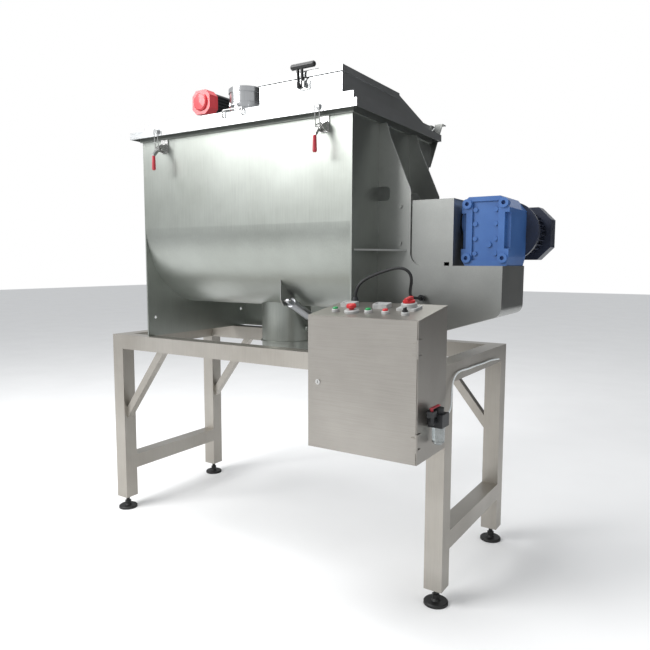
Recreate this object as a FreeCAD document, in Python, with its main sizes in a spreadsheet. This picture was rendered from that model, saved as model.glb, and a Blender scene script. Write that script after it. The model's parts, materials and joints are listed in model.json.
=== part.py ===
# Ribbon blender: U-trough mixer with hinged lid, helical ribbon agitator, side drive and pneumatic discharge.
# Frame of the drawing: X along the shaft towards the drive, Y from front to back, Z up.
# Positions are measured from the left front corner of the frame, on the floor. Each finished sub-part is then
# placed so that the origin of the machine lies at the middle of its base.
import FreeCAD, Part
import math
import os
import re

import Sketcher

os.makedirs("parts", exist_ok=True)
doc = FreeCAD.newDocument("RibbonBlender")
Vector = FreeCAD.Vector

# ---------------------------------------------------------------- driving dimensions, millimetres and degrees
DIMENSIONS = [
    # frame
    ("frame_length", 2023), ("frame_depth", 817), ("frame_top", 1031), ("tube_size", 80), ("tube_wall", 4),
    ("low_rail_z", 235), ("brace_leg_low", 544), ("brace_leg_high", 609), ("brace_rail_near", 339),
    ("brace_rail_far", 389), ("brace_width", 40), ("brace_wall", 3), ("right_brace_lift", 42),
    ("right_brace_reach", 18),
    # levelling feet
    ("foot_height", 72), ("foot_disc_radius", 52), ("foot_disc_height", 14), ("foot_neck_radius", 12),
    ("foot_neck_top", 26), ("foot_hex_flats", 30), ("foot_hex_top", 42), ("stem_radius", 10),
    ("stem_top", 124), ("running_gap", 0.05), ("leg_plate", 8),
    # trough
    ("trough_left", 260), ("trough_right", 1565), ("trough_front", 28), ("trough_back", 855),
    ("trough_top", 2112), ("shaft_z", 1622), ("trough_wall", 5), ("end_plate", 8), ("rim_band", 10),
    ("rim_height", 32), ("seal_width", 16), ("seal_height", 11), ("skirt_plate", 4), ("lift_hole_radius", 9),
    ("shaft_hole_radius", 50),
    # lid and feed hood
    ("lid_left", 217), ("lid_right", 1613), ("lid_front", -20), ("lid_back", 903), ("lid_sheet", 4),
    ("lid_flange_top", 2127), ("lid_skirt_low", 2092), ("pan_left", 276), ("pan_right", 1568),
    ("pan_front", 30), ("pan_back", 853), ("pan_top", 2172), ("hood_left", 1053), ("hood_right", 1506),
    ("hood_front", 40), ("hood_kink", 592), ("hood_back", 935), ("hood_top", 2287), ("hood_tail_top", 2197),
    ("hood_wall", 4), ("feed_margin", 20), ("cover_left", 1045), ("cover_right", 1512), ("cover_front", 31),
    ("cover_fold", 27), ("cover_sheet", 4), ("cover_hinge_z", 2299), ("knuckle_radius", 7),
    ("hinge_pin_radius", 3), ("lid_hinge_y", 935), ("lid_hinge_z", 2165), ("lid_pin_radius", 8),
    ("vent_x", 797), ("vent_y", 250), ("vent_radius", 86), ("vent_top", 2332), ("vent_wall", 3),
    ("shaker_x", 573), ("shaker_front", 150), ("shaker_z", 2279), ("shaker_cap_size", 122),
    ("shaker_cap_depth", 64), ("shaker_body", 104), ("shaker_length", 172), ("handle_left", 840), ("handle_right", 962),
    ("handle_rod", 4), ("handle_y", 18), ("handle_low", 2142), ("handle_top", 2176),
    # toggle clamps
    ("clamp_left_x", 430), ("clamp_right_x", 1425), ("clamp_pivot_y", -14), ("clamp_pivot_z", 2032),
    ("clamp_throw", 14), ("bail_rod", 2.5), ("bail_top", 2122), ("bail_top_y", -38), ("bail_half", 11.5),
    ("clamp_grip_radius", 10), ("clamp_grip_y", -53), ("clamp_grip_top", 1986), ("clamp_grip_low", 1914),
    # feed latch
    ("latch_left", 1257), ("latch_right", 1383), ("latch_pivot_y", 22), ("latch_pivot_z", 2230),
    ("latch_grip_y", 12), ("latch_grip_z", 2307), ("latch_grip_radius", 13),
    # agitator
    ("shaft_radius", 35), ("shaft_left", 196), ("shaft_right", 1990), ("ribbon_left", 300),
    ("ribbon_pitch", 612.5), ("ribbon_turns", 2), ("ribbon_sheet", 8), ("outer_radius", 390),
    ("outer_width", 55), ("inner_radius", 215), ("inner_width", 50), ("spoke_radius", 14),
    ("bearing_flange", 160), ("bearing_sheet", 16), ("bearing_radius", 62), ("bearing_length", 64),
    # drive bracket, gearbox, motor
    ("cheek_front", 274), ("cheek_back", 601), ("cheek_sheet", 8), ("deck_top", 1428), ("deck_right", 2155), ("deck_low", 1217),
    ("deck_round", 42), ("cheek_edge", 1730), ("cheek_knee_z", 1766), ("cheek_neck_x", 1624),
    ("cheek_neck_z", 2008), ("gusset_y", 51), ("gusset_z", 1494),
    ("tray_sheet", 6), ("guard_left", 1732), ("guard_right", 1931), ("guard_top", 1722), ("guard_sheet", 3),
    ("gear_left", 1951), ("gear_right", 2161), ("gear_front", 330), ("gear_back", 600), ("gear_top", 1727),
    ("motor_x", 2080), ("motor_z", 1587), ("motor_flange_radius", 138), ("motor_radius", 92),
    ("fin_height", 18), ("fin_sheet", 4), ("motor_bell_back", 700), ("motor_body_back", 868),
    ("cowl_back", 960), ("cowl_size", 260), ("cowl_chamfer", 62),
    # discharge
    ("spout_x", 912), ("spout_radius", 135), ("spout_wall", 4), ("spout_low", 942), ("spout_stop", 1012), ("valve_z", 1085),
    ("valve_gap", 0.4), ("valve_sheet", 6), ("spindle_radius", 10), ("crank_radius", 75),
    ("cylinder_x", 1136), ("cylinder_y", 150), ("cylinder_z", 1253), ("barrel_radius", 24),
    ("barrel_bore", 20), ("rod_radius", 6), ("barrel_near", 24), ("barrel_far", 192),
    # control box and console
    ("box_left", 1541), ("box_right", 2023), ("box_front", -275), ("box_low", 694), ("box_front_top", 1232),
    ("box_back_top", 1273), ("box_sheet", 3), ("door_sheet", 3), ("door_inset", 4), ("door_hinge_radius", 5),
    ("lock_x", 1590), ("lock_z", 965), ("lock_radius", 11),
    # air regulator
    ("regulator_y", -152), ("regulator_z", 853), ("bowl_radius", 26),
]

sheet = doc.addObject("Spreadsheet::Sheet", "Dims")
for row, (alias, number) in enumerate(DIMENSIONS, start=1):
    sheet.set("A%d" % row, alias.replace("_", " "))
    sheet.set("B%d" % row, str(number))
    sheet.setAlias("B%d" % row, alias)
doc.recompute()
ALIASES = {alias for alias, number in DIMENSIONS}


def bound(text):
    # An expression on the sheet's cells, as setExpression wants it.
    return re.sub(r"[a-z]\w*", lambda m: "Dims." + m.group(0) if m.group(0) in ALIASES else m.group(0), str(text))


def size(text):
    # The present value of such an expression.
    return float(sheet.evalExpression(bound(text)))


def bind(thing, **places):
    for name, text in places.items():
        thing.setExpression(name.replace("__", "."), bound(text))


# ---------------------------------------------------------------- primitives and booleans
TURNS = {
    "X": FreeCAD.Rotation(Vector(0, 1, 0), 90),
    "Y": FreeCAD.Rotation(Vector(1, 0, 0), -90),
    "Z": FreeCAD.Rotation(),
}


def at(thing, x, y, z):
    bind(thing, Placement__Base__x=x, Placement__Base__y=y, Placement__Base__z=z)
    return thing


def block(x0, x1, y0, y1, z0, z1):
    box = doc.addObject("Part::Box", "Block")
    bind(box, Length="(%s) - (%s)" % (x1, x0), Width="(%s) - (%s)" % (y1, y0), Height="(%s) - (%s)" % (z1, z0))
    return at(box, x0, y0, z0)


def rod(axis, radius, start, end, x=None, y=None, z=None):
    # A round bar along one axis, from start to end.
    bar = doc.addObject("Part::Cylinder", "Rod")
    bar.Placement = FreeCAD.Placement(Vector(), TURNS[axis])
    bind(bar, Radius=radius, Height="(%s) - (%s)" % (end, start))
    spot = {"X": (start, y, z), "Y": (x, start, z), "Z": (x, y, start)}[axis]
    return at(bar, *spot)


def cone(axis, low, high, start, end, x=None, y=None, z=None):
    bar = doc.addObject("Part::Cone", "Cone")
    bar.Placement = FreeCAD.Placement(Vector(), TURNS[axis])
    bind(bar, Radius1=low, Radius2=high, Height="(%s) - (%s)" % (end, start))
    spot = {"X": (start, y, z), "Y": (x, start, z), "Z": (x, y, start)}[axis]
    return at(bar, *spot)


def union(*things):
    if len(things) == 1:
        return things[0]
    whole = doc.addObject("Part::MultiFuse", "Union")
    whole.Shapes = list(things)
    return whole


def cut(base, *tools):
    result = doc.addObject("Part::Cut", "Cut")
    result.Base = base
    result.Tool = union(*tools)
    return result


def common(first, second):
    result = doc.addObject("Part::Common", "Common")
    result.Base = first
    result.Tool = second
    return result


def formed(shape, name="Formed"):
    # A shape that only Part's own functions make, such as a sweep.
    thing = doc.addObject("Part::Feature", name)
    thing.Shape = shape
    return thing


# ---------------------------------------------------------------- sketched plates
PLANES = {"XY": "XY_Plane", "XZ": "XZ_Plane", "YZ": "YZ_Plane"}


def sketch_on(body, plane, offset):
    role = PLANES[plane]
    base = [feature for feature in body.Origin.OriginFeatures if feature.Role == role][0]
    sketch = body.newObject("Sketcher::SketchObject", "Outline")
    sketch.AttachmentSupport = [(base, "")]
    sketch.MapMode = "FlatFace"
    sign = "-" if plane == "XZ" else ""
    sketch.setExpression("AttachmentOffset.Base.z", "%s(%s)" % (sign, bound(offset)))
    return sketch


def fix(sketch, kind, geometry, point, text):
    index = sketch.addConstraint(Sketcher.Constraint(kind, -1, 1, geometry, point, size(text)))
    sketch.setExpression("Constraints[%d]" % index, bound(text))


def loop(sketch, corners):
    # A closed outline. A corner is (u, v), or (u, v, "arc", cu, cv, way) when an arc about the centre (cu, cv)
    # leads from it to the next corner; way is 1 for anticlockwise.
    count = len(corners)
    first = sketch.GeometryCount
    spots = [Vector(size(c[0]), size(c[1]), 0) for c in corners]
    for index, corner in enumerate(corners):
        here, there = spots[index], spots[(index + 1) % count]
        if len(corner) == 2:
            sketch.addGeometry(Part.LineSegment(here, there), False)
            continue
        centre = Vector(size(corner[3]), size(corner[4]), 0)
        if corner[5] < 0:
            here, there = there, here
        begin = math.atan2(here.y - centre.y, here.x - centre.x)
        finish = math.atan2(there.y - centre.y, there.x - centre.x)
        circle = Part.Circle(centre, Vector(0, 0, 1), (here - centre).Length)
        sketch.addGeometry(Part.ArcOfCircle(circle, begin, finish), False)
    ends = [(1, 2) if len(c) == 2 or c[5] > 0 else (2, 1) for c in corners]
    for index, corner in enumerate(corners):
        following = (index + 1) % count
        sketch.addConstraint(Sketcher.Constraint("Coincident", first + index, ends[index][1],
                                                 first + following, ends[following][0]))
        fix(sketch, "DistanceX", first + index, ends[index][0], corner[0])
        fix(sketch, "DistanceY", first + index, ends[index][0], corner[1])
        if len(corner) > 2:
            chord = spots[following] - spots[index]
            if abs(chord.x) > abs(chord.y):
                fix(sketch, "DistanceY", first + index, 3, corner[4])
            else:
                fix(sketch, "DistanceX", first + index, 3, corner[3])


def ring(sketch, u, v, radius):
    index = sketch.addGeometry(Part.Circle(Vector(size(u), size(v), 0), Vector(0, 0, 1), size(radius)), False)
    fix(sketch, "DistanceX", index, 3, u)
    fix(sketch, "DistanceY", index, 3, v)
    number = sketch.addConstraint(Sketcher.Constraint("Radius", index, size(radius)))
    sketch.setExpression("Constraints[%d]" % number, bound(radius))


def plate(plane, offset, thickness, corners, holes=(), inner=(), rounds=()):
    # A flat piece on one plane, from offset towards the positive side. holes are round, inner are outlines, and
    # rounds are (u, v, radius) for corners to be rounded.
    body = doc.addObject("PartDesign::Body", "Plate")
    sketch = sketch_on(body, plane, offset)
    loop(sketch, corners)
    for outline in inner:
        loop(sketch, outline)
    for u, v, radius in holes:
        ring(sketch, u, v, radius)
    pad = body.newObject("PartDesign::Pad", "Pad")
    pad.Profile = sketch
    bind(pad, Length=thickness)
    pad.Reversed = plane == "XZ"
    for u, v, radius in rounds:
        doc.recompute()
        before = body.Tip
        names = edges_at(before.Shape, plane, size(u), size(v))
        fillet = body.newObject("PartDesign::Fillet", "Round")
        fillet.Base = (before, names)
        bind(fillet, Radius=radius)
        body.Tip = fillet
    return body


def edges_at(shape, plane, u, v):
    # The edges along the plane's normal through the point (u, v) of that plane.
    names = []
    for number, edge in enumerate(shape.Edges, start=1):
        spots = []
        for vertex in edge.Vertexes:
            p = vertex.Point
            spots.append({"XY": (p.x, p.y), "XZ": (p.x, p.z), "YZ": (p.y, p.z)}[plane])
        if len(spots) == 2 and all(math.hypot(s[0] - u, s[1] - v) < 0.5 for s in spots):
            names.append("Edge%d" % number)
    return names


def rectangle(u0, u1, v0, v1):
    return [(u0, v0), (u1, v0), (u1, v1), (u0, v1)]


def turned(profile, axis, x, y, z):
    # A turned piece: profile is (radius, height) points, closed on the axis side, stood along the axis.
    body = doc.addObject("PartDesign::Body", "Turned")
    sketch = sketch_on(body, "XZ", "0")
    loop(sketch, profile)
    spin = body.newObject("PartDesign::Revolution", "Revolution")
    spin.Profile = sketch
    spin.ReferenceAxis = (sketch, ["V_Axis"])
    spin.Angle = 360
    body.Placement = FreeCAD.Placement(Vector(), TURNS[axis])
    return at(body, x, y, z)


# ---------------------------------------------------------------- bent rods, cables and ribbons
def bent_path(points, radii):
    # Straight runs joined by tangent arcs, one radius for each inner point.
    edges = []
    begin = points[0]
    for index in range(1, len(points) - 1):
        corner = points[index]
        back = (points[index - 1] - corner).normalize()
        ahead = (points[index + 1] - corner).normalize()
        half = back.getAngle(ahead) / 2
        reach = radii[index - 1] / math.tan(half)
        enter = corner + back * reach
        leave = corner + ahead * reach
        centre = corner + (back + ahead).normalize() * (radii[index - 1] / math.sin(half))
        middle = centre + (corner - centre).normalize() * radii[index - 1]
        edges.append(Part.LineSegment(begin, enter).toShape())
        edges.append(Part.Arc(enter, middle, leave).toShape())
        begin = leave
    edges.append(Part.LineSegment(begin, points[-1]).toShape())
    return Part.Wire(edges)


def swept(path, radius):
    start = path.Edges[0]
    heading = start.tangentAt(start.FirstParameter)
    section = Part.Wire(Part.makeCircle(radius, path.Vertexes[0].Point, heading))
    return path.makePipeShell([section], True, False)


def bent_rod(points, radius, bend):
    places = [Vector(*[size(value) for value in point]) for point in points]
    return formed(swept(bent_path(places, [size(bend)] * (len(places) - 2)), size(radius)), "BentRod")


def cable_radii(points):
    # Each bend is as wide as its two runs allow.
    radii = []
    for index in range(1, len(points) - 1):
        into = points[index] - points[index - 1]
        out = points[index + 1] - points[index]
        turn = into.getAngle(out)
        radii.append(0.45 * min(into.Length, out.Length) / math.tan(turn / 2))
    return radii


def cable(points, radius):
    places = [Vector(*point) for point in points]
    radii = cable_radii(places)
    path = bent_path(places, radii)
    solid = swept(path, radius)
    expected = math.pi * radius * radius * path.Length
    print("cable: length %.0f, bends %s" % (path.Length, [round(r) for r in radii]))
    if abs(solid.Volume / expected - 1) > 0.02:
        raise RuntimeError("cable volume is off")
    return formed(solid, "Cable")


def helical_ribbon(outer, width, hand, phase):
    # One start of a ribbon: a flat bar wound on edge round the shaft.
    pitch, thick = size("ribbon_pitch"), size("ribbon_sheet")
    height = pitch * size("ribbon_turns")
    middle = outer - width / 2
    spine = Part.makeHelix(pitch, height, middle, 0, hand < 0)
    half_width, half_thick = width / 2, thick / 2
    corners = [Vector(middle - half_width, 0, -half_thick), Vector(middle + half_width, 0, -half_thick),
               Vector(middle + half_width, 0, half_thick), Vector(middle - half_width, 0, half_thick)]
    profile = Part.makePolygon(corners + [corners[0]])
    sweep = Part.BRepOffsetAPI.MakePipeShell(Part.Wire(spine))
    sweep.setFrenetMode(True)
    sweep.add(profile)
    sweep.build()
    sweep.makeSolid()
    solid = sweep.shape()
    solid.rotate(Vector(), Vector(0, 0, 1), phase)
    solid.rotate(Vector(), Vector(0, 1, 0), 90)
    solid.translate(Vector(size("ribbon_left"), size(SHAFT_Y), size("shaft_z")))
    return solid


def spoke(x, angle, reach):
    # A round arm from the shaft's surface to the ribbon, square to the shaft.
    start = size("shaft_radius")
    direction = Vector(0, 0, 1)
    arm = Part.makeCylinder(size("spoke_radius"), reach, Vector(), direction)
    arm.rotate(Vector(), Vector(1, 0, 0), angle)
    arm.translate(Vector(x, size(SHAFT_Y), size("shaft_z")))
    core = Part.makeCylinder(start, 4 * start, Vector(x - 2 * start, size(SHAFT_Y), size("shaft_z")), Vector(1, 0, 0))
    return arm.cut(core)


SHAFT_Y = "(trough_front + trough_back) / 2"
TROUGH_RADIUS = "(trough_back - trough_front) / 2"
nodes = []


def sub_part(label, *solids):
    # The finished sub-part: its solids together, placed from the frame's corner to the machine's origin.
    piece = doc.addObject("Part::Compound", "SubPart")
    piece.Label = label
    piece.Links = list(solids)
    nodes.append(piece)
    return piece


# ---------------------------------------------------------------- frame
def mitred_rail(plane_corners, hollow):
    solid = plate("XY", "frame_top - tube_size", "tube_size", plane_corners)
    return cut(solid, hollow)


def build_frame():
    legs = []
    for x in ("0", "frame_length - tube_size"):
        for y in ("0", "frame_depth - tube_size"):
            outer = block(x, x + " + tube_size", y, y + " + tube_size", "foot_height", "frame_top - tube_size")
            inner = block(x + " + tube_wall", x + " + tube_size - tube_wall", y + " + tube_wall",
                          y + " + tube_size - tube_wall", "foot_height + leg_plate", "frame_top")
            hole = rod("Z", "stem_radius + running_gap", "foot_height - 5", "foot_height + leg_plate + 5",
                       x=x + " + tube_size / 2", y=y + " + tube_size / 2")
            legs.append(cut(outer, inner, hole))
    sub_part("frame_legs", *legs)

    low, high = "frame_top - tube_size + tube_wall", "frame_top - tube_wall"
    near, far_x, far_y = "tube_size", "frame_length - tube_size", "frame_depth - tube_size"
    rails = [
        mitred_rail([("0", "0"), ("frame_length", "0"), (far_x, near), (near, near)],
                    block("-5", "frame_length + 5", "tube_wall", "tube_size - tube_wall", low, high)),
        mitred_rail([("0", "frame_depth"), (near, far_y), (far_x, far_y), ("frame_length", "frame_depth")],
                    block("-5", "frame_length + 5", "frame_depth - tube_size + tube_wall",
                          "frame_depth - tube_wall", low, high)),
        mitred_rail([("0", "0"), (near, near), (near, far_y), ("0", "frame_depth")],
                    block("tube_wall", "tube_size - tube_wall", "-5", "frame_depth + 5", low, high)),
        mitred_rail([("frame_length", "0"), ("frame_length", "frame_depth"), (far_x, far_y), (far_x, near)],
                    block("frame_length - tube_size + tube_wall", "frame_length - tube_wall", "-5",
                          "frame_depth + 5", low, high)),
    ]
    sub_part("frame_top_rails", *rails)

    ties = []
    for x in ("0", "frame_length - tube_size"):
        outer = block(x, x + " + tube_size", "tube_size", "frame_depth - tube_size", "low_rail_z",
                      "low_rail_z + tube_size")
        inner = block(x + " + tube_wall", x + " + tube_size - tube_wall", "0", "frame_depth",
                      "low_rail_z + tube_wall", "low_rail_z + tube_size - tube_wall")
        ties.append(cut(outer, inner))
    braces = []
    under = "frame_top - tube_size"
    back = "frame_depth - (tube_size + brace_width) / 2"
    for y, side in (("(tube_size - brace_width) / 2", "left"), (back, "left"), (back, "right")):
        start, way = ("tube_size", "+") if side == "left" else ("frame_length - tube_size", "-")
        lift, less = ("0", "0") if side == "left" else ("right_brace_lift", "right_brace_reach")

        def band(wall):
            def along(distance):
                return "%s %s (%s - tube_size - %s)" % (start, way, distance, less)
            slant = "(%s) * 1.64" % wall
            return [(start, "brace_leg_low + %s + %s" % (lift, slant)),
                    (start, "brace_leg_high + %s - %s" % (lift, slant)),
                    (along("brace_rail_near + (%s) * 1.27" % wall), under),
                    (along("brace_rail_far - (%s) * 1.27" % wall), under)]
        braces.append(cut(plate("XZ", y, "brace_width", band("0")),
                          plate("XZ", y + " + brace_wall", "brace_width - 2 * brace_wall", band("brace_wall"))))
    sub_part("frame_ties", *(ties + braces))


def build_feet():
    corners = {"front_left": ("tube_size / 2", "tube_size / 2"),
               "front_right": ("frame_length - tube_size / 2", "tube_size / 2"),
               "back_left": ("tube_size / 2", "frame_depth - tube_size / 2"),
               "back_right": ("frame_length - tube_size / 2", "frame_depth - tube_size / 2")}
    for name, (x, y) in corners.items():
        disc = turned([("0", "0"), ("foot_disc_radius", "0"), ("foot_disc_radius", "foot_disc_height - 4"),
                       ("foot_disc_radius - 4", "foot_disc_height"), ("foot_neck_radius + 8", "foot_disc_height"),
                       ("foot_neck_radius", "foot_neck_top"), ("stem_radius", "foot_neck_top"),
                       ("stem_radius", "stem_top - 2"), ("stem_radius - 2", "stem_top"), ("0", "stem_top")],
                      "Z", x, y, "0")
        hexagon = doc.addObject("Part::Prism", "Hexagon")
        hexagon.Polygon = 6
        bind(hexagon, Circumradius="foot_hex_flats / 1.732", Height="foot_hex_top - foot_neck_top + 2")
        at(hexagon, x, y, "foot_neck_top - 2")
        sub_part("foot_" + name, union(disc, hexagon))


# ---------------------------------------------------------------- trough
def shaft_cylinder(radius, start, end):
    return rod("X", radius, start, end, y=SHAFT_Y, z="shaft_z")


def four_bars(outside, width, low, high):
    # A rectangle of four bars round the top of the trough, standing out past its walls by outside.
    left, right = "trough_left - (%s)" % outside, "trough_right + (%s)" % outside
    front, back = "trough_front - (%s)" % outside, "trough_back + (%s)" % outside
    return [block(left, right, front, front + " + " + width, low, high),
            block(left, right, back + " - " + width, back, low, high),
            block(left, left + " + " + width, front + " + " + width, back + " - " + width, low, high),
            block(right + " - " + width, right, front + " + " + width, back + " - " + width, low, high)]


def build_trough():
    inner_front, inner_back = "trough_front + trough_wall", "trough_back - trough_wall"
    shell = plate("YZ", "trough_left + end_plate", "trough_right - trough_left - 2 * end_plate",
                  [("trough_front", "trough_top"), ("trough_front", "shaft_z", "arc", SHAFT_Y, "shaft_z", 1),
                   ("trough_back", "shaft_z"), ("trough_back", "trough_top"), (inner_back, "trough_top"),
                   (inner_back, "shaft_z", "arc", SHAFT_Y, "shaft_z", -1), (inner_front, "shaft_z"),
                   (inner_front, "trough_top")])
    port = rod("Z", "spout_radius - spout_wall", "spout_low", "shaft_z", x="spout_x", y=SHAFT_Y)
    sub_part("trough_shell", cut(shell, port))

    lift_holes = [("trough_front + 54", "frame_top + 104", "lift_hole_radius"),
                  ("trough_back - 40", "frame_top + 108", "lift_hole_radius")]
    plates = []
    for x, holes in (("trough_left", lift_holes), ("trough_right - end_plate", [])):
        plates.append(plate("YZ", x, "end_plate",
                            rectangle("trough_front", "trough_back", "frame_top", "trough_top"),
                            [(SHAFT_Y, "shaft_z", "shaft_hole_radius")] + holes))
    sub_part("end_plates", *plates)

    sub_part("trough_rim", *four_bars("rim_band", "rim_band", "trough_top - rim_height", "trough_top"))
    sub_part("lid_seal", *four_bars("rim_band - 2", "seal_width", "trough_top", "trough_top + seal_height"))

    sub_part("rear_skirt", block("trough_left", "trough_right", "trough_back", "trough_back + skirt_plate",
                                 "frame_top", "shaft_z + 60"))

    tube = cut(rod("Z", "spout_radius", "spout_low", "shaft_z - 300", x="spout_x", y=SHAFT_Y),
               rod("Z", "spout_radius - spout_wall", "spout_low - 5", "shaft_z", x="spout_x", y=SHAFT_Y))
    bosses = union(rod("X", "spindle_radius + 8", "spout_x - spout_radius - 12", "spout_x - spout_radius + 3",
                       y=SHAFT_Y, z="valve_z"),
                   rod("X", "spindle_radius + 8", "spout_x + spout_radius - 3", "spout_x + spout_radius + 12",
                       y=SHAFT_Y, z="valve_z"))
    stop = rod("Z", "spout_radius + 7", "spout_stop", "spout_stop + 6", x="spout_x", y=SHAFT_Y)
    spindle_bore = rod("X", "spindle_radius + running_gap", "spout_x - 2 * spout_radius",
                       "spout_x + 2 * spout_radius", y=SHAFT_Y, z="valve_z")
    bore = rod("Z", "spout_radius - spout_wall", "spout_low - 5", "shaft_z", x="spout_x", y=SHAFT_Y)
    sub_part("discharge_spout", cut(union(tube, bosses, stop), shaft_cylinder(TROUGH_RADIUS, "trough_left",
                                                                        "trough_right"), spindle_bore, bore))

    ear = plate("YZ", "cylinder_x - 34", "6",
                [("cylinder_y - 25", "cylinder_z + 150"), ("cylinder_y - 25", "cylinder_z + 7"),
                 ("cylinder_y", "cylinder_z - 27"), ("cylinder_y + 30", "cylinder_z - 27"),
                 ("cylinder_y + 110", "cylinder_z + 9"), ("cylinder_y + 110", "cylinder_z + 150")])
    pin = rod("X", "rod_radius", "cylinder_x - 34", "cylinder_x + 14", y="cylinder_y", z="cylinder_z")
    sub_part("cylinder_bracket", cut(union(ear, pin), shaft_cylinder(TROUGH_RADIUS, "trough_left",
                                                                     "trough_right")))

    bearings = []
    for face, way in (("trough_left", -1), ("trough_right", 1)):
        def out(distance):
            return "%s + (%s) * %d" % (face, distance, way)
        first, last = (out("bearing_sheet"), face) if way < 0 else (face, out("bearing_sheet"))
        flange = block(first, last, SHAFT_Y + " - bearing_flange / 2", SHAFT_Y + " + bearing_flange / 2",
                       "shaft_z - bearing_flange / 2", "shaft_z + bearing_flange / 2")
        first, last = (out("bearing_length"), face) if way < 0 else (face, out("bearing_length"))
        boss = shaft_cylinder("bearing_radius", first, last)
        bearings.append(cut(union(flange, boss),
                            shaft_cylinder("shaft_radius + running_gap", "trough_left - 80", "trough_right + 80")))
    sub_part("shaft_bearings", *bearings)


def build_lid_hinges():
    # A triangular plate behind each rear corner of the lid carries the hinge pin on two ears.
    brackets = []
    for mirror in (False, True):
        def across(x):
            return "trough_left + trough_right - (%s)" % x if mirror else x
        def pair(a, b):
            return (across(b), across(a)) if mirror else (across(a), across(b))
        face = "lid_back + 3"
        top = "lid_hinge_z + 17"
        triangle = plate("XZ", face, "6",
                         [(across("1514"), top), (across("1514"), "2096"), (across("1535"), "1962"),
                          (across("1549"), "1962"), (across("1616"), top)])
        left, right = pair("1514", "1616")
        flange = block(left, right, face, face + " + 50", top, top + " + 5")
        slot_left, slot_right = pair("1552", "1572")
        slot = block(slot_left, slot_right, face + " - 5", face + " + 60", "lid_hinge_z - 50", top + " + 10")
        pieces = [cut(union(triangle, flange), slot)]
        ears = []
        for a, b in (("1541", "1548"), ("1576", "1583")):
            first, last = pair(a, b)
            ears.append(block(first, last, face + " + 6", face + " + 50", "lid_hinge_z - 30", top))
        first, last = pair("1536", "1588")
        pin = rod("X", "lid_pin_radius", first, last, y="lid_hinge_y", z="lid_hinge_z")
        first, last = pair("1535", "1549")
        post = block(first, last, "trough_back + skirt_plate", face, "1962", "2074")
        foot = block(first, last, "trough_back", "trough_back + skirt_plate", "1962", "2074")
        brackets.append(union(*(pieces + ears + [pin, post, foot])))
    sub_part("lid_hinge_brackets", *brackets)


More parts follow.
